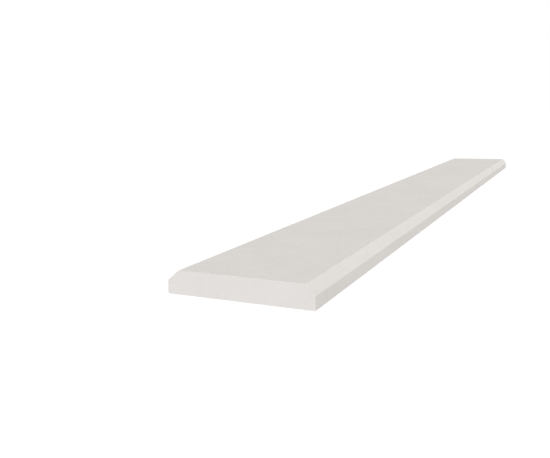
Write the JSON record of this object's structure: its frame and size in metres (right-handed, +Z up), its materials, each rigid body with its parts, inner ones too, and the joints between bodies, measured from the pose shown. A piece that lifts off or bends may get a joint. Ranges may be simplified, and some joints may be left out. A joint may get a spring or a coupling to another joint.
{
  "type": "threshold saddle",
  "caption": "Flat rectangular stone threshold bar with a ground bevel along both long top edges, square sawn ends and a plain flat underside.",
  "frame": {"origin": "middle of the underside, on the floor that the bar lies on", "axes": "+X along the bar, +Y across it from the front edge to the back edge, +Z up through its thickness"},
  "size_m": [0.9144, 0.1016, 0.0159],
  "materials": {
    "stone": "honed, pale warm off-white"
  },
  "bodies": {
    "root": {"saddle": "stone"}
  },
  "joints": []
}
